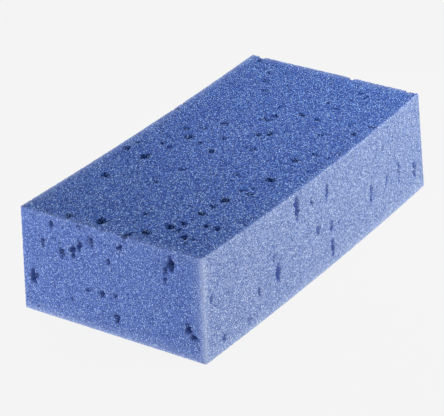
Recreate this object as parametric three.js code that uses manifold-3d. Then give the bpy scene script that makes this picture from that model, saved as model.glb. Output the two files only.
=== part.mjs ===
// A washing sponge: one rectangular block of open-cell foam, cut from a larger bun and left uncovered.
// Millimetres. +X runs along the block, +Y across it and +Z up through its thickness, which is also the
// direction in which the foam rose, so its blow-holes are tall along Z. The block stands on Z = 0.

import * as THREE from "three";
import { mergeVertices } from "three/addons/utils/BufferGeometryUtils.js";
import Module from "manifold-3d";

const LENGTH = 200;
const WIDTH = 102;
const THICKNESS = 53;

// The block is cut with a wire, which leaves its edges almost sharp.
const EDGE_RADIUS = 0.8;
const EDGE_STEPS = 2;

// Soft foam takes a set in storage: both long sides bow towards -Y, by these amounts at mid length.
const BOW = {
  rightBase: 2,
  rightTop: 3,
  left: 2,
};
const BOW_STEPS = 14;

// The base is a true rectangle, and each upright edge leans: its top end sits this far along X and Y
// from straight above its foot. Left is +Y and right is -Y; near is -X and far is +X.
const LEAN = {
  nearRight: [1, 0],
  farRight: [-3, 2],
  nearLeft: [2, -1],
  farLeft: [-1, 0.5],
};

// The largest blow-holes that the cut opened, placed on the true block before it bows and leans.
// On the top face an entry is [x, y, width, depth].
const TOP_HOLES = [
  [-98, -9, 3.5, 4],
  [-96, 25, 3.5, 3],
  [-93, 9, 5.5, 5],
  [-92, -15, 4, 4],
  [-87, -32, 3.5, 4],
  [-82, -21, 4.5, 5],
  [-77, -4, 3.5, 3],
  [-73, -34, 3, 5],
  [-73, -40, 3.5, 3],
  [-64, -25, 4, 4],
  [-56, -26, 3, 3],
  [-55, 36, 4.5, 4],
  [-48, -27, 4, 4],
  [-36, -28, 3, 4],
  [-29, 32, 5, 5],
  [-20, -34, 4.5, 5],
  [3, -33, 3.5, 5],
  [6, 10, 3.5, 4],
  [22, -7, 4, 5],
  [35, 2, 3, 3],
  [40, 1, 3, 4],
  [42, -43, 3, 4],
  [48, -10, 3.5, 4],
  [53, -48, 2.5, 3],
  [67, -15, 2, 3],
  [74, 27, 3, 4],
];

// On the near end face (-X) an entry is [y, z, width, height, depth].
const END_HOLES = [
  [-45, 12, 3, 4, 3],
  [-42, 16, 3, 5, 4],
  [-34, 46, 3, 8, 5],
  [-3, 10, 2, 3.5, 3],
  [10, 45, 3, 5, 2],
  [21, 37, 3, 5, 4],
  [45, 19, 3.5, 8, 3],
];

// On the right side (-Y) an entry is [x, z, width, height, depth].
const SIDE_HOLES = [
  [-42, 19, 3.5, 10, 4],
  [-25, 45, 3.5, 12, 5],
  [2, 42, 2.5, 9, 3],
  [6, 10, 2.5, 10, 3],
  [44, 21, 2.5, 11, 1.5],
  [73, 20, 2.5, 12, 1.5],
  [90, 14, 2.5, 9, 3],
];

const HOLE_SEGMENTS = 10;
const HOLE_RINGS = 8;

const wasm = await Module();
wasm.setup();

// Grid lines along one side of the block: close together over each rounded edge and even between.
function gridLines(size, innerSteps) {
  const half = size / 2;
  const inner = half - EDGE_RADIUS;
  const lines = [];
  for (let i = 0; i < EDGE_STEPS; i++) {
    lines.push(-half + (EDGE_RADIUS * i) / EDGE_STEPS);
  }
  for (let i = 0; i <= innerSteps; i++) {
    lines.push(-inner + (2 * inner * i) / innerSteps);
  }
  for (let i = EDGE_STEPS - 1; i >= 0; i--) {
    lines.push(half - (EDGE_RADIUS * i) / EDGE_STEPS);
  }
  return lines;
}

// Pulls a point of the plain box in to the box with rounded edges and corners.
function roundEdges(point, halfSize) {
  const inner = halfSize.clone().subScalar(EDGE_RADIUS);
  const core = point.clone().clamp(inner.clone().negate(), inner);
  const outward = point.clone().sub(core);
  return core.add(outward.setLength(EDGE_RADIUS));
}

// How far the bow carries a point towards -Y. across runs from 0 on the right side to 1 on the left.
function bowAt(along, across, up) {
  const arc = 4 * along * (1 - along);
  const right = THREE.MathUtils.lerp(BOW.rightBase, BOW.rightTop, up);
  return arc * THREE.MathUtils.lerp(right, BOW.left, across);
}

// How far the leaning upright edges carry a point along one axis: 0 for X, 1 for Y.
function leanAt(along, across, up, axis) {
  const right = THREE.MathUtils.lerp(LEAN.nearRight[axis], LEAN.farRight[axis], along);
  const left = THREE.MathUtils.lerp(LEAN.nearLeft[axis], LEAN.farLeft[axis], along);
  return up * THREE.MathUtils.lerp(right, left, across);
}

// Moves a point of the true rounded block, centred on X and Y and standing on Z = 0, to the real one.
function setShape(point) {
  const along = point.x / LENGTH + 0.5;
  const across = point.y / WIDTH + 0.5;
  const up = point.z / THICKNESS;
  return new THREE.Vector3(
    point.x + leanAt(along, across, up, 0),
    point.y + leanAt(along, across, up, 1) - bowAt(along, across, up),
    point.z,
  );
}

// A closed geometry's positions, with its shared vertices merged, as a solid.
function toSolid(geometry) {
  const bare = geometry.clone();
  bare.deleteAttribute("normal");
  bare.deleteAttribute("uv");
  const merged = mergeVertices(bare);
  return new wasm.Manifold(
    new wasm.Mesh({
      numProp: 3,
      vertProperties: new Float32Array(merged.attributes.position.array),
      triVerts: new Uint32Array(merged.index.array),
    }),
  );
}

function toGeometry(solid) {
  const mesh = solid.getMesh();
  const geometry = new THREE.BufferGeometry();
  geometry.setAttribute("position", new THREE.BufferAttribute(mesh.vertProperties, 3));
  geometry.setIndex(new THREE.BufferAttribute(mesh.triVerts, 1));
  geometry.computeVertexNormals();
  return geometry;
}

function foamBlock() {
  const xs = gridLines(LENGTH, BOW_STEPS);
  const ys = gridLines(WIDTH, 1);
  const zs = gridLines(THICKNESS, 1);
  const geometry = new THREE.BoxGeometry(
    xs.length - 1, ys.length - 1, zs.length - 1,
    xs.length - 1, ys.length - 1, zs.length - 1,
  );
  const halfSize = new THREE.Vector3(LENGTH, WIDTH, THICKNESS).divideScalar(2);
  const position = geometry.attributes.position;
  const lineAt = (lines, value) => lines[Math.round(value + (lines.length - 1) / 2)];
  for (let i = 0; i < position.count; i++) {
    const onGrid = new THREE.Vector3(
      lineAt(xs, position.getX(i)),
      lineAt(ys, position.getY(i)),
      lineAt(zs, position.getZ(i)),
    );
    const rounded = roundEdges(onGrid, halfSize);
    rounded.z += THICKNESS / 2;
    const shaped = setShape(rounded);
    position.setXYZ(i, shaped.x, shaped.y, shaped.z);
  }
  return toSolid(geometry);
}

// An ellipsoid to cut away, centred where a hole meets the face.
function holeCutter(centre, radii) {
  const geometry = new THREE.SphereGeometry(1, HOLE_SEGMENTS, HOLE_RINGS);
  geometry.rotateX(Math.PI / 2);
  geometry.scale(radii.x, radii.y, radii.z);
  const place = setShape(centre);
  geometry.translate(place.x, place.y, place.z);
  return toSolid(geometry);
}

function allHoles() {
  const holes = [];
  for (const [x, y, width, depth] of TOP_HOLES) {
    const centre = new THREE.Vector3(x, y, THICKNESS);
    holes.push(holeCutter(centre, new THREE.Vector3(width / 2, width / 2, depth)));
  }
  for (const [y, z, width, height, depth] of END_HOLES) {
    const centre = new THREE.Vector3(-LENGTH / 2, y, z);
    holes.push(holeCutter(centre, new THREE.Vector3(depth, width / 2, height / 2)));
  }
  for (const [x, z, width, height, depth] of SIDE_HOLES) {
    const centre = new THREE.Vector3(x, -WIDTH / 2, z);
    holes.push(holeCutter(centre, new THREE.Vector3(width / 2, depth, height / 2)));
  }
  return holes;
}

// The base stands on Z = 0 and the middle of the bounding box is at X = Y = 0.
function centreOnBase(geometry) {
  geometry.computeBoundingBox();
  const middle = geometry.boundingBox.getCenter(new THREE.Vector3());
  geometry.translate(-middle.x, -middle.y, 0);
}

let foam = foamBlock();
for (const hole of allHoles()) {
  foam = foam.subtract(hole);
}
const foamGeometry = toGeometry(foam);
centreOnBase(foamGeometry);

const foamMesh = new THREE.Mesh(
  foamGeometry,
  new THREE.MeshStandardMaterial({ color: 0x5c7cc8, roughness: 0.95, metalness: 0 }),
);
foamMesh.name = "foam_block";

const group = new THREE.Group();
group.add(foamMesh);

export default group;
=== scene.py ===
"""A foam washing sponge: one bare rectangular block of blue open-cell foam on a pale studio floor.

The block is one closed mesh. A lattice over a rounded box is pushed inwards wherever the cut opened cells
and blow-holes, and is then bowed and leaned to the CAD solid's shape.
The shape code works in millimetres, and finished meshes are in metres.
"""
import itertools
import math

import bpy
import numpy as np
from mathutils import Matrix, Vector


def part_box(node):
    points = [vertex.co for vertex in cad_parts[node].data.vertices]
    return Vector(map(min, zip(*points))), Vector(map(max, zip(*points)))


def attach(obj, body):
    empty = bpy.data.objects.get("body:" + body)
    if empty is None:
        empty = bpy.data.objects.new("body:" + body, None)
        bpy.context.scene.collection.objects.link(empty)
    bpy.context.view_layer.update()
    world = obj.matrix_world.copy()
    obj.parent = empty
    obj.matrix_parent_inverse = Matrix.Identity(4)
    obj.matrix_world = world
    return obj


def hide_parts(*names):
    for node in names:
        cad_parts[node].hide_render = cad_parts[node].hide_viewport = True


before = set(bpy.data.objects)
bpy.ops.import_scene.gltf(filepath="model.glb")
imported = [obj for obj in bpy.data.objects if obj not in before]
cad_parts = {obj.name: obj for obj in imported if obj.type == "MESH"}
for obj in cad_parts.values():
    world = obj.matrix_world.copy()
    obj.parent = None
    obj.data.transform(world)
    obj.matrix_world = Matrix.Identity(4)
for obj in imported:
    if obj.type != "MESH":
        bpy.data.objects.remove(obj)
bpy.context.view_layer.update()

MM = 0.001

# ---- The block, as the CAD solid has it ----

LENGTH = 200.0
WIDTH = 102.0
THICKNESS = 53.0
EDGE_RADIUS = 0.8

# Both long sides bow towards -Y, by these amounts at mid length.
BOW_RIGHT_BASE = 2.0
BOW_RIGHT_TOP = 3.0
BOW_LEFT = 2.0

# How far the top end of each upright edge sits along X and Y from straight above its foot.
LEAN_NEAR_RIGHT = (1.0, 0.0)
LEAN_FAR_RIGHT = (-3.0, 2.0)
LEAN_NEAR_LEFT = (2.0, -1.0)
LEAN_FAR_LEFT = (-1.0, 0.5)

# The largest blow-holes, where the CAD solid has them. On the top: x, y, width, depth.
TOP_HOLES = [
    (-98, -9, 3.5, 4), (-96, 25, 3.5, 3), (-93, 9, 5.5, 5), (-92, -15, 4, 4), (-87, -32, 3.5, 4),
    (-82, -21, 4.5, 5), (-77, -4, 3.5, 3), (-73, -34, 3, 5), (-73, -40, 3.5, 3), (-64, -25, 4, 4),
    (-56, -26, 3, 3), (-55, 36, 4.5, 4), (-48, -27, 4, 4), (-36, -28, 3, 4), (-29, 32, 5, 5),
    (-20, -34, 4.5, 5), (3, -33, 3.5, 5), (6, 10, 3.5, 4), (22, -7, 4, 5), (35, 2, 3, 3), (40, 1, 3, 4),
    (42, -43, 3, 4), (48, -10, 3.5, 4), (53, -48, 2.5, 3), (67, -15, 2, 3), (74, 27, 3, 4),
]

# On the near end (-X): y, z, width, height, depth.
END_HOLES = [
    (-45, 12, 3, 4, 3), (-42, 16, 3, 5, 4), (-34, 46, 3, 8, 5), (-3, 10, 2, 3.5, 3), (10, 45, 3, 5, 2),
    (21, 37, 3, 5, 4), (45, 19, 3.5, 8, 3),
]

# On the right side (-Y): x, z, width, height, depth.
SIDE_HOLES = [
    (-42, 19, 3.5, 10, 4), (-25, 45, 3.5, 12, 5), (2, 42, 2.5, 9, 3), (6, 10, 2.5, 10, 3),
    (44, 21, 2.5, 11, 1.5), (73, 20, 2.5, 12, 1.5), (90, 14, 2.5, 9, 3),
]

# ---- What the CAD solid leaves out ----

# Shallower blow-holes, listed face by face in the same way but all of one depth.
SHALLOW_DEPTH = 2.3
SHALLOW_TOP_HOLES = [
    (-91, -12, 2.5), (-83, -26, 3), (-76, -24, 3), (-87, -36, 2.5), (-48, 12, 3), (-37, -33, 3),
    (-32, 8, 3), (-26, 45, 3.5), (-23, -17, 3), (-18, 44, 3), (-15, 28, 3), (-13, 33, 3), (-9, 7, 3.5),
    (-4, 17, 2.5), (-1, 26, 5), (3, -9, 3.5), (7, 33, 4), (11, 25, 3), (13, -38, 3), (18, -2, 3),
    (21, 19, 3.5), (33, -29, 3), (34, 5, 3), (48, -19, 3), (51, 4, 3), (63, -22, 3), (64, 21, 3),
    (75, 14, 2.5), (82, -29, 2.5), (84, 31, 3), (85, -24, 3), (95, 43, 3),
]
SHALLOW_END_HOLES = [
    (-31, 37, 2, 3), (-31, 42, 2, 4), (-6, 47, 2, 3.5), (-2, 21, 2, 2.5), (1, 38, 2, 2.5),
    (5, 20, 3, 4), (13, 19, 2.5, 4), (16, 51, 3.5, 2.5), (17, 41, 3, 6), (23, 13, 1.5, 2.5),
    (27, 35, 2, 3.5), (33, 48, 1.5, 3), (38, 38, 2.5, 3),
]
SHALLOW_SIDE_HOLES = [
    (-94, 31, 2.5, 5), (-86, 7, 2.5, 4), (-66, 6, 2, 5), (-58, 17, 2, 4), (-46, 28, 2.5, 4),
    (-12, 42, 1.5, 8), (-7, 25, 2, 5), (5, 21, 2, 7), (60, 22, 1.5, 6),
]

# Nicks in the far top edges: centre, and radii along x, y and z.
NICKS = [
    ((22, 51, 53), (1.2, 3.5, 1.6)), ((30, 51, 53), (1.2, 3.5, 1.6)),
    ((100, 44, 53), (3, 2.5, 1.2)), ((100, -12, 53), (3, 2, 1.4)),
    ((100, -32, 53), (1.5, 20, 0.5)), ((100, -46, 53), (2.5, 4, 1)),
]

# Blow-holes at random places: how many, and the ranges of their radii and depths. Small ones are
# everywhere, and the others keep to the faces that no list covers and away from the edges.
SMALL_HOLES = (420, (0.45, 0.8), (0.5, 1.4))
MIDDLE_HOLES = (90, (0.9, 1.4), (1.0, 2.0))
LARGE_HOLES = (80, (1.1, 1.7), (3.0, 5.0))
EDGE_MARGIN = 3.0

# A random hole in a level face is this much longer along X than along Y. One in an upright face is this
# much narrower, shallower and taller than its radius and depth say.
LEVEL_STRETCH = (0.9, 1.4)
UPRIGHT_WIDTH = 0.8
UPRIGHT_DEPTH = 0.6
UPRIGHT_STRETCH = (1.3, 2.8)

# Wavelength and size of each set of waves that make the outlines of holes ragged.
HOLE_WARPS = ((4.0, 0.35), (1.7, 0.3), (0.9, 0.15))

# How far beyond a hole's radii its ragged outline may reach.
WARP_REACH = 1.5

# Painted shade darkens the foam round a hole out to this many of its radii. A hole of this depth gets about
# two thirds of the deepest painted shade, and no hole counts as deeper than the limit.
HALO = 1.25
HOLE_SHADE_REACH = 1.4
HOLE_SHADE_LIMIT = 5

# ---- The foam's surface ----

# Spacing of the mesh's vertices, and how many spacings each may stray from its place.
MESH_STEP = 0.5
MESH_JITTER = 0.28

# Cells that the cut opened: width, height over width, usual depth, and the radius of a bowl in widths.
# The shallowest and the deepest are this many times the usual depth, and they fade down a blow-hole's wall.
CELL_SIZE = 1.15
CELL_RISE = 1.35
CELL_DEPTH = 0.14
CELL_BOWL = 0.62
CELL_SHALLOWEST = 0.25
CELL_DEEPEST = 1.5
CELL_FADE = 2

# Slow waves in the skin: size, wavelength, and how far they may go outwards (negative) and inwards.
FUZZ = 0.04
FUZZ_WAVELENGTH = 1.9
FUZZ_LIMITS = (-0.05, 0.3)

# A point this near a face of the plain block lies on it. The skin of a level face is thinner.
FACE_SKIN = 1
LEVEL_SKIN = 0.5

# Painted sheen pales the sides. The ends get this share of it, and the top and the base get none.
END_SHEEN = 0.38

# The speckle of the ends and of the sides has this much less contrast than the top's.
END_CALM = 0.2
SIDE_CALM = 0.05

# Painted light along edges, standing in for light that comes through the thin foam there: how far it reaches
# in from an edge, and how strong it is on each kind of edge.
RIM_REACH = 1.7
RIM_UPRIGHT = 0.15
RIM_NEAR = 1.3
RIM_BASE = 1.2
RIM_TOP_BACK = 1.1
RIM_TOP_FRONT = 0.2

SEED = 20

# The random table behind the cells, whose length is a power of two, and factors that spread its keys.
CELL_TABLE = 4096
KEY_FACTORS = (73856093, 19349663, 83492791)

# Soft noise adds up this many waves, with wavelengths spread by this range.
WAVES = 9
WAVE_SPREAD = (0.7, 1.4)


def lerp(a, b, t):
    return a + (b - a) * t


def box_lattice(steps):
    """The lattice points on the skin of a box of steps[0] x steps[1] x steps[2], and its outward quads."""
    shape = tuple(n + 1 for n in steps)
    skin = np.ones(shape, bool)
    skin[1:-1, 1:-1, 1:-1] = False
    number = np.full(shape, -1)
    number[skin] = np.arange(skin.sum())
    quads = []
    for axis in range(3):
        for end in (0, -1):
            sheet = np.take(number, end, axis=axis)
            ring = [sheet[:-1, :-1], sheet[1:, :-1], sheet[1:, 1:], sheet[:-1, 1:]]
            outward = (end == -1) != (axis == 1)
            if not outward:
                ring.reverse()
            quads.append(np.stack([corner.ravel() for corner in ring], axis=1))
    return np.argwhere(skin), np.concatenate(quads)


def plain_block(rng):
    """Points of the rounded box, standing on z = 0, with their outward normals and the quads."""
    size = np.array([LENGTH, WIDTH, THICKNESS])
    steps = np.round(size / MESH_STEP).astype(int)
    lattice, quads = box_lattice(steps)
    jitter = rng.uniform(-MESH_JITTER, MESH_JITTER, lattice.shape)
    jitter[(lattice == 0) | (lattice == steps)] = 0
    points = ((lattice + jitter) / steps - 0.5) * size
    core = np.clip(points, EDGE_RADIUS - size / 2, size / 2 - EDGE_RADIUS)
    normals = points - core
    normals /= np.linalg.norm(normals, axis=1, keepdims=True)
    points = core + normals * EDGE_RADIUS
    points[:, 2] += THICKNESS / 2
    return points, normals, quads


def set_shape(points):
    """Bows and leans points of the plain block as the CAD solid's are."""
    along = points[:, 0] / LENGTH + 0.5
    across = points[:, 1] / WIDTH + 0.5
    up = points[:, 2] / THICKNESS
    shaped = points.copy()
    for axis in (0, 1):
        right = lerp(LEAN_NEAR_RIGHT[axis], LEAN_FAR_RIGHT[axis], along)
        left = lerp(LEAN_NEAR_LEFT[axis], LEAN_FAR_LEFT[axis], along)
        shaped[:, axis] += up * lerp(right, left, across)
    bow = lerp(lerp(BOW_RIGHT_BASE, BOW_RIGHT_TOP, up), BOW_LEFT, across)
    shaped[:, 1] -= 4 * along * (1 - along) * bow
    return shaped


def cell_noise(points, size, rng):
    """Distance to the nearest of one random point per grid cell, in cells, and that point's own number."""
    table = rng.random((CELL_TABLE, 4))
    scaled = points / size
    base = np.floor(scaled).astype(np.int64)
    nearest = np.full(len(points), np.inf)
    own = np.zeros(len(points))
    for step in itertools.product((-1, 0, 1), repeat=3):
        cell = base + step
        keys = cell * KEY_FACTORS
        key = keys[:, 0] ^ keys[:, 1] ^ keys[:, 2]
        pick = table[key & (CELL_TABLE - 1)]
        distance = np.linalg.norm(cell + pick[:, :3] - scaled, axis=1)
        closer = distance < nearest
        nearest = np.where(closer, distance, nearest)
        own = np.where(closer, pick[:, 3], own)
    return nearest, own


def soft_noise(points, wavelength, rng):
    """A smooth random field of about -1 to 1: a few sine waves that run in random directions."""
    total = np.zeros(len(points))
    for _ in range(WAVES):
        direction = rng.normal(size=3)
        direction *= 2 * math.pi / (wavelength * np.linalg.norm(direction)) * rng.uniform(*WAVE_SPREAD)
        total += np.sin(points @ direction + rng.uniform(0, 2 * math.pi))
    return total / math.sqrt(WAVES / 2)


def warp(points, rng):
    """The points, each moved a little, so that a hole measured on them has a ragged outline."""
    warped = points.copy()
    for wavelength, size in HOLE_WARPS:
        warped += size * np.stack([soft_noise(points, wavelength, rng) for _ in range(3)], axis=1)
    return warped


def open_cells(points, rng):
    """How deep the cut cells are at each point, in millimetres."""
    stretched = points / (1, 1, CELL_RISE)
    distance, own = cell_noise(stretched, CELL_SIZE, rng)
    bowl = np.clip(1 - (distance / CELL_BOWL) ** 2, 0, 1)
    return CELL_DEPTH * bowl * lerp(CELL_SHALLOWEST, CELL_DEEPEST, own**2)


def inside_faces(points):
    """How far each point of the plain block lies inside its three nearest faces, across X, Y and Z."""
    half = np.array([LENGTH, WIDTH, THICKNESS]) / 2
    return half - np.abs(points - (0, 0, THICKNESS / 2))


def clear_of_edges(points):
    return np.sort(inside_faces(points), axis=1)[:, 1] > EDGE_MARGIN


def on_unlisted_face(points):
    """Whether each point is on the base, the left side or the far end, which have no list of holes."""
    on_base = points[:, 2] < FACE_SKIN
    on_left = points[:, 1] > WIDTH / 2 - FACE_SKIN
    on_far_end = points[:, 0] > LENGTH / 2 - FACE_SKIN
    return on_base | on_left | on_far_end


def named_holes():
    """Centre and radii of each blow-hole in the lists, on the plain block."""
    top = TOP_HOLES + [(*hole, SHALLOW_DEPTH) for hole in SHALLOW_TOP_HOLES]
    end = END_HOLES + [(*hole, SHALLOW_DEPTH) for hole in SHALLOW_END_HOLES]
    side = SIDE_HOLES + [(*hole, SHALLOW_DEPTH) for hole in SHALLOW_SIDE_HOLES]
    holes = []
    for x, y, width, depth in top:
        holes.append(((x, y, THICKNESS), (width / 2, width / 2, depth)))
    for y, z, width, height, depth in end:
        holes.append(((-LENGTH / 2, y, z), (depth, width / 2, height / 2)))
    for x, z, width, height, depth in side:
        holes.append(((x, -WIDTH / 2, z), (width / 2, depth, height / 2)))
    return holes


def random_holes(rng, points, count, radius, depth):
    """Blow-holes centred on some of the points, and tall along z where an upright face cuts them."""
    holes = []
    for pick in rng.choice(len(points), count, replace=False):
        centre = points[pick]
        wide = rng.uniform(*radius)
        deep = rng.uniform(*depth)
        on_level = abs(centre[2] - THICKNESS / 2) > THICKNESS / 2 - LEVEL_SKIN
        on_end = abs(centre[0]) > LENGTH / 2 - EDGE_RADIUS
        if on_level:
            radii = (wide * rng.uniform(*LEVEL_STRETCH), wide, deep)
        elif on_end:
            radii = (deep * UPRIGHT_DEPTH, wide * UPRIGHT_WIDTH, wide * rng.uniform(*UPRIGHT_STRETCH))
        else:
            radii = (wide * UPRIGHT_WIDTH, deep * UPRIGHT_DEPTH, wide * rng.uniform(*UPRIGHT_STRETCH))
        holes.append((tuple(centre), radii))
    return holes


def all_holes(rng, points):
    clear = points[clear_of_edges(points)]
    unlisted = clear[on_unlisted_face(clear)]
    holes = named_holes() + NICKS
    holes += random_holes(rng, points, *SMALL_HOLES)
    holes += random_holes(rng, unlisted, *MIDDLE_HOLES)
    holes += random_holes(rng, unlisted, *LARGE_HOLES)
    return holes


def hole_depth(points, normals, centre, radii):
    """How far each point goes inwards to an ellipsoid's far wall, and how near it is to the middle."""
    offset = (points - centre) / radii
    inward = -normals / radii
    a = (inward**2).sum(axis=1)
    b = (offset * inward).sum(axis=1)
    c = (offset**2).sum(axis=1) - 1
    root = np.sqrt(np.clip(b**2 - a * c, 0, None))
    depth = np.where(c < 0, (root - b) / a, 0)
    return depth, np.clip(HALO - np.sqrt(c + 1), 0, 1)


def sink_holes(points, warped, normals, holes):
    """How deep the holes are at each point, in millimetres, and how much painted shade they put there, from
    0 to 1.
    """
    pits = np.zeros(len(points))
    hole_shade = np.zeros(len(points))
    for centre, radii in holes:
        reach = max(radii) * HALO + WARP_REACH
        near = np.flatnonzero((np.abs(points - centre) < reach).all(axis=1))
        depth, nearness = hole_depth(warped[near], normals[near], np.array(centre), np.array(radii))
        pits[near] = np.maximum(pits[near], depth)
        # Painted shade in and round each hole, stronger for deeper holes.
        inmost = (np.abs(normals[near]) @ np.array(radii)).clip(0, HOLE_SHADE_LIMIT)
        darkness = np.sqrt(nearness) * (1 - np.exp(-inmost / HOLE_SHADE_REACH))
        hole_shade[near] = np.maximum(hole_shade[near], darkness)
    return pits, hole_shade


def painted_edge_light(points):
    """How much painted light each point gets for being near an edge, where light comes through the thin
    foam.
    """
    inside = inside_faces(points)
    upright = inside[:, 0] + inside[:, 1]
    level = inside[:, 2] + np.minimum(inside[:, 0], inside[:, 1])
    along_x = inside[:, 1] < inside[:, 0]
    back = np.where(along_x, points[:, 1] > 0, points[:, 0] > 0)
    on_top = np.where(back, RIM_TOP_BACK, RIM_TOP_FRONT)
    share = np.where(points[:, 2] > THICKNESS / 2, on_top, RIM_BASE)
    nearest = (points[:, 0] < 0) & (points[:, 1] < 0)
    falls = [
        np.where(nearest, RIM_NEAR, RIM_UPRIGHT) * np.exp(-upright / RIM_REACH),
        share * np.exp(-level / RIM_REACH),
    ]
    return np.maximum(*falls)


def place_on_cad(points, outline):
    """Moves points so that a block of this outline stands where the CAD solid does, and trims its base."""
    low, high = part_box("foam_block")
    low, high = np.array(low) / MM, np.array(high) / MM
    shift = (low + high) / 2 - (outline.min(0) + outline.max(0)) / 2
    shift[2] = low[2]
    placed = points + shift
    placed[:, 2] = np.maximum(placed[:, 2], low[2])
    return placed


def quad_mesh(name, points, quads, looks):
    """A smooth mesh of quads, from points in millimetres, with a named number per vertex for each look."""
    mesh = bpy.data.meshes.new(name)
    mesh.vertices.add(len(points))
    mesh.vertices.foreach_set("co", (points * MM).ravel())
    mesh.loops.add(quads.size)
    mesh.loops.foreach_set("vertex_index", quads.ravel())
    mesh.polygons.add(len(quads))
    mesh.polygons.foreach_set("loop_start", np.arange(0, quads.size, 4))
    mesh.polygons.foreach_set("use_smooth", np.ones(len(quads), bool))
    mesh.update(calc_edges=True)
    for look, values in looks.items():
        attribute = mesh.attributes.new(look, "FLOAT", "POINT")
        attribute.data.foreach_set("value", values)
    return mesh


def foam_mesh():
    rng = np.random.default_rng(SEED)
    points, normals, quads = plain_block(rng)
    warped = warp(points, rng)
    pits, hole_shade = sink_holes(points, warped, normals, all_holes(rng, points))
    cells = open_cells(points, rng)
    fuzz = FUZZ * soft_noise(points, FUZZ_WAVELENGTH, rng)
    depth = pits + cells * np.exp(-pits / CELL_FADE) + np.clip(fuzz, *FUZZ_LIMITS)
    sunk = set_shape(points - normals * depth[:, None])
    placed = place_on_cad(sunk, set_shape(points))

    # Painted sheen paling the sides and the ends, and painted light along the edges.
    pale = np.abs(normals) @ np.array([END_SHEEN, 1, 0])
    calm = np.abs(normals) @ np.array([END_CALM, SIDE_CALM, 0])
    looks = {"hole_shade": hole_shade, "edge_light": painted_edge_light(points), "pale": np.clip(pale, 0, 1), "calm": calm}
    return quad_mesh("foam_sponge", placed, quads, looks)


# ---- The foam's material ----

# The grain: the size of a cell, how far from one half the random numbers are read, and the palest tone.
GRAIN = 0.29
GRAIN_SPREAD = 0.28
GRAIN_HIGH = 0.72

# Pores, painted shade in open cells, and glints, painted highlights on struts, are round spots, one per cell
# of their size. A spot is full out to its core and gone at its edge, in cells. Only cells whose random
# number is past FROM have one.
SPOT_CORE = 0.25
SPOT_EDGE = 0.55
PORE = 0.45
PORE_FROM = 0.5
PORE_DEPTH = 0.5
GLINT = 0.43
GLINT_FROM = 0.80
GLINT_FULL = 0.84
GLINT_STRENGTH = 1.0

# Calmed faces draw in towards this tone.
MIDDLE_TONE = 0.45

# Colour by tone, for foam without painted sheen and for foam paled by painted sheen. The last stop is the
# colour of the painted glints.
FOAM_TONES = [
    (0.0, (0.0012, 0.0095, 0.088)),
    (0.3, (0.0048, 0.0310, 0.227)),
    (0.6, (0.0215, 0.0880, 0.436)),
    (0.75, (0.122, 0.252, 0.652)),
    (1.0, (0.60, 0.84, 1.0)),
]
SHEEN_TONES = [
    (0.0, (0.051, 0.090, 0.302)),
    (0.3, (0.113, 0.178, 0.461)),
    (0.6, (0.228, 0.315, 0.640)),
    (0.75, (0.365, 0.475, 0.765)),
    (1.0, (0.88, 0.94, 1.0)),
]

# The painted shade inside blow-holes, on the top and on the pale sides, and the range of tones over which
# struts show through it: the palest keep this share of the painted shade.
HOLE_SHADE_COLOUR = (0.003, 0.014, 0.100, 1)
PALE_HOLE_SHADE_COLOUR = (0.065, 0.138, 0.55, 1)
STRUT_FROM = 0.25
STRUT_FULL = 0.9
STRUT_SHADE = 0.75

# The colour of the painted light that edges fade to, and by how much.
EDGE_LIGHT_COLOUR = (0.60, 0.70, 0.96, 1)
EDGE_LIGHT_SHARE = 0.35

# What the shader's own colour socket holds, beneath the nodes that feed it.
AVERAGE_COLOUR = (0.1, 0.16, 0.4, 1)
ROUGHNESS = 0.9
SPECULAR = 0.2
SHEEN = 0.04
SHEEN_ROUGHNESS = 0.5
BUMP = 0.15
BUMP_HEIGHT = 0.25

# Turns the grid that cells are scattered on, in radians, so that no face lies along it.
GRID_TURN = (0.5, 0.8, 0.3)


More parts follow.
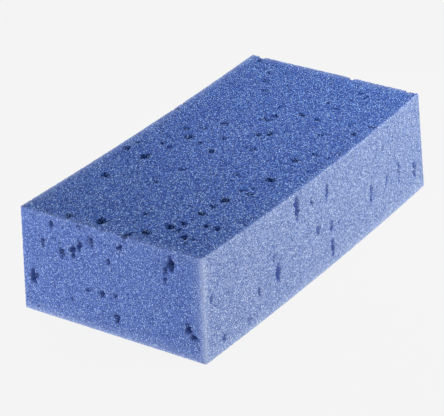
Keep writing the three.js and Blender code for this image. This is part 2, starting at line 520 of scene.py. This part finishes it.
class Shading:
    """Builds a material's node tree: each method adds nodes and returns the outputs that matter."""

    # Nodes are laid out in rows of this many, this far apart.
    ROW = 12
    SPACING = (180, -220)

    def __init__(self, material):
        material.use_nodes = True
        self.tree = material.node_tree
        self.tree.nodes.clear()
        self.out = self.add("ShaderNodeOutputMaterial")
        self.surface = self.add("ShaderNodeBsdfPrincipled")
        self.feed(self.out.inputs["Surface"], self.surface.outputs["BSDF"])

    def add(self, kind):
        made = self.tree.nodes.new(kind)
        row, column = divmod(len(self.tree.nodes), self.ROW)
        made.location = (self.SPACING[0] * column, self.SPACING[1] * row)
        return made

    def feed(self, socket, value):
        """Links a socket to another node's output, or sets it to a plain value."""
        if isinstance(value, bpy.types.NodeSocket):
            self.tree.links.new(value, socket)
        else:
            socket.default_value = value

    def math(self, operation, a, b, clamp=False):
        made = self.add("ShaderNodeMath")
        made.operation = operation
        made.use_clamp = clamp
        self.feed(made.inputs[0], a)
        self.feed(made.inputs[1], b)
        return made.outputs[0]

    def remap(self, value, low, high, to_low, to_high, smooth=False):
        made = self.add("ShaderNodeMapRange")
        made.interpolation_type = "SMOOTHSTEP" if smooth else "LINEAR"
        self.feed(made.inputs["Value"], value)
        made.inputs["From Min"].default_value = low
        made.inputs["From Max"].default_value = high
        made.inputs["To Min"].default_value = to_low
        made.inputs["To Max"].default_value = to_high
        return made.outputs["Result"]

    def mix(self, share, a, b):
        """The colour between a and b. The node's colour sockets have numbers 6 and 7, and the result 2."""
        made = self.add("ShaderNodeMix")
        made.data_type = "RGBA"
        self.feed(made.inputs[0], share)
        self.feed(made.inputs[6], a)
        self.feed(made.inputs[7], b)
        return made.outputs[2]

    def ramp(self, value, stops):
        made = self.add("ShaderNodeValToRGB")
        self.feed(made.inputs["Fac"], value)
        elements = made.color_ramp.elements
        while len(elements) < len(stops):
            elements.new(0.5)
        for element, (place, colour) in zip(elements, stops):
            element.position = place
            element.color = (*colour, 1)
        return made.outputs["Color"]

    def attribute(self, name):
        made = self.add("ShaderNodeAttribute")
        made.attribute_name = name
        return made.outputs["Fac"]

    def turned_space(self):
        coords = self.add("ShaderNodeTexCoord")
        turn = self.add("ShaderNodeMapping")
        turn.inputs["Rotation"].default_value = GRID_TURN
        self.feed(turn.inputs["Vector"], coords.outputs["Object"])
        return turn.outputs["Vector"]

    def cells(self, space, size):
        """Distance to the nearest cell centre, in cells, and a random number for each cell."""
        made = self.add("ShaderNodeTexVoronoi")
        made.inputs["Scale"].default_value = 1 / (size * MM)
        self.feed(made.inputs["Vector"], space)
        split = self.add("ShaderNodeSeparateColor")
        self.feed(split.inputs["Color"], made.outputs["Color"])
        return made.outputs["Distance"], split.outputs[0]

    def spots(self, space, size, start, full, strength):
        """Soft round spots in the cells whose random number is past start, growing to strength at full."""
        distance, own = self.cells(space, size)
        spot = self.remap(distance, SPOT_CORE, SPOT_EDGE, 1, 0, smooth=True)
        return self.math("MULTIPLY", spot, self.remap(own, start, full, 0, strength))


def foam_tone(shading):
    """The tone of the foam, from 0 to 1: a grain of cells, less painted shade in open pores, plus painted
    highlights on ends of struts.
    """
    space = shading.turned_space()
    own = shading.cells(space, GRAIN)[1]
    grain = shading.remap(own, 0.5 - GRAIN_SPREAD, 0.5 + GRAIN_SPREAD, 0, GRAIN_HIGH)
    # Painted shade in open pores.
    pores = shading.spots(space, PORE, PORE_FROM, 1, PORE_DEPTH)
    tone = shading.math("SUBTRACT", grain, pores)
    # Painted highlights on the ends of struts.
    glints = shading.spots(space, GLINT, GLINT_FROM, GLINT_FULL, GLINT_STRENGTH)
    tone = shading.math("ADD", tone, glints, clamp=True)
    contrast = shading.math("SUBTRACT", tone, MIDDLE_TONE)
    calmed = shading.math("MULTIPLY", contrast, shading.attribute("calm"))
    return shading.math("SUBTRACT", tone, calmed)


def foam_colour(shading, tone):
    """The tone's colour, paled by painted sheen on the sides, with painted light along edges and painted
    shade in blow-holes.
    """
    pale = shading.attribute("pale")
    # Painted sheen pales the sides.
    foam = shading.mix(pale, shading.ramp(tone, FOAM_TONES), shading.ramp(tone, SHEEN_TONES))
    # Painted light along the edges.
    edge_light = shading.math("MULTIPLY", shading.attribute("edge_light"), EDGE_LIGHT_SHARE)
    foam = shading.mix(edge_light, foam, EDGE_LIGHT_COLOUR)
    # Painted shade in blow-holes, lessened where the tone is pale, so that struts show through it.
    struts = shading.remap(tone, STRUT_FROM, STRUT_FULL, 1, STRUT_SHADE)
    hole_shade = shading.math("MULTIPLY", shading.attribute("hole_shade"), struts)
    return shading.mix(hole_shade, foam, shading.mix(pale, HOLE_SHADE_COLOUR, PALE_HOLE_SHADE_COLOUR))


def foam_material():
    material = bpy.data.materials.new("blue_foam")
    shading = Shading(material)
    surface = shading.surface
    surface.inputs["Base Color"].default_value = AVERAGE_COLOUR
    surface.inputs["Roughness"].default_value = ROUGHNESS
    surface.inputs["Specular IOR Level"].default_value = SPECULAR
    surface.inputs["Sheen Weight"].default_value = SHEEN
    surface.inputs["Sheen Roughness"].default_value = SHEEN_ROUGHNESS
    tone = foam_tone(shading)
    shading.feed(surface.inputs["Base Color"], foam_colour(shading, tone))

    bump = shading.add("ShaderNodeBump")
    bump.inputs["Strength"].default_value = BUMP
    bump.inputs["Distance"].default_value = BUMP_HEIGHT * MM
    shading.feed(bump.inputs["Height"], tone)
    shading.feed(surface.inputs["Normal"], bump.outputs["Normal"])
    return material


# ---- The studio: headings and heights in degrees, and lengths in metres ----

FLOOR_REACH = 6.0
FLOOR_GLOW = 0.878
FLOOR_COLOUR = 0.03

# Brightness of the dome at the horizon, and the share of it that is left straight overhead.
SKY = 0.905
OVERHEAD = 0.28

# Softboxes, aimed at the middle of the base: name, heading, height, distance, size, power and colour.
WARM = (1.0, 0.95, 0.68)
CREAM = (1.0, 0.97, 0.88)
WHITE = (1, 1, 1)
SOFTBOXES = [
    ("right_softbox", -62, 12, 0.9, 0.4, 4.65, WARM),
    ("left_softbox", 138, 4, 0.5, 0.4, 3.08, CREAM),
    ("top_softbox", -30, 62, 0.31, 0.15, 0.55, WHITE),
]

# Where the camera stands, from a target given from the middle of the block. The lens and sensor are in mm.
VIEW_HEADING = -145.06
VIEW_ELEVATION = 27.46
VIEW_ROLL = 2.67
VIEW_DISTANCE = 0.9635
VIEW_LENS = 163.4
SENSOR_WIDTH = 36
VIEW_TARGET = Vector((-0.0134, -0.0021, 0.0002))


def direction(heading, elevation):
    heading, elevation = math.radians(heading), math.radians(elevation)
    return Vector((
        math.cos(heading) * math.cos(elevation),
        math.sin(heading) * math.cos(elevation),
        math.sin(elevation),
    ))


def floor():
    """A big pale floor that glows a little, like a light table, so that shadows on it stay faint."""
    mesh = bpy.data.meshes.new("studio_floor")
    corners = [(x * FLOOR_REACH, y * FLOOR_REACH, 0) for x, y in ((-1, -1), (1, -1), (1, 1), (-1, 1))]
    mesh.from_pydata(corners, [], [(0, 1, 2, 3)])
    plane = bpy.data.objects.new("studio_floor", mesh)
    bpy.context.scene.collection.objects.link(plane)
    material = bpy.data.materials.new("pale_floor")
    material.use_nodes = True
    shader = material.node_tree.nodes["Principled BSDF"]
    shader.inputs["Base Color"].default_value = (FLOOR_COLOUR, FLOOR_COLOUR, FLOOR_COLOUR, 1)
    shader.inputs["Roughness"].default_value = 1.0
    shader.inputs["Specular IOR Level"].default_value = 0.0
    shader.inputs["Emission Color"].default_value = (1, 1, 1, 1)
    shader.inputs["Emission Strength"].default_value = FLOOR_GLOW
    mesh.materials.append(material)


def softbox(name, heading, elevation, distance, size, power, colour):
    """A square area light that looks at the middle of the base."""
    lamp = bpy.data.lights.new(name, "AREA")
    lamp.size = size
    lamp.energy = power
    lamp.color = colour
    thing = bpy.data.objects.new(name, lamp)
    away = direction(heading, elevation)
    thing.location = away * distance
    thing.rotation_euler = away.to_track_quat("Z", "Y").to_euler()
    bpy.context.scene.collection.objects.link(thing)


def sky():
    """A studio dome that is bright all round and darker overhead."""
    world = bpy.data.worlds.new("studio")
    world.use_nodes = True
    tree = world.node_tree
    coords = tree.nodes.new("ShaderNodeTexCoord")
    split = tree.nodes.new("ShaderNodeSeparateXYZ")
    fade = tree.nodes.new("ShaderNodeMapRange")
    fade.inputs["To Min"].default_value = SKY
    fade.inputs["To Max"].default_value = SKY * OVERHEAD
    tree.links.new(coords.outputs["Generated"], split.inputs["Vector"])
    tree.links.new(split.outputs["Z"], fade.inputs["Value"])
    tree.links.new(fade.outputs["Result"], tree.nodes["Background"].inputs["Strength"])
    tree.nodes["Background"].inputs["Color"].default_value = (1, 1, 1, 1)
    bpy.context.scene.world = world


def studio():
    sky()
    bpy.context.scene.view_settings.view_transform = "Standard"
    for box in SOFTBOXES:
        softbox(*box)


def camera():
    low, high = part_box("foam_block")
    target = (low + high) / 2 + VIEW_TARGET
    away = direction(VIEW_HEADING, VIEW_ELEVATION)
    lens = bpy.data.cameras.new("camera")
    lens.lens = VIEW_LENS
    lens.sensor_width = SENSOR_WIDTH
    view = bpy.data.objects.new("camera", lens)
    upright = away.to_track_quat("Z", "Y").to_matrix()
    view.matrix_world = Matrix.Translation(target + away * VIEW_DISTANCE) @ (
        upright @ Matrix.Rotation(math.radians(-VIEW_ROLL), 3, "Z")
    ).to_4x4()
    bpy.context.scene.collection.objects.link(view)
    bpy.context.scene.camera = view


camera()
studio()
floor()

sponge_mesh = foam_mesh()
sponge_mesh.materials.append(foam_material())
sponge = bpy.data.objects.new("foam_sponge", sponge_mesh)
bpy.context.scene.collection.objects.link(sponge)
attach(sponge, "root")
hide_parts("foam_block")
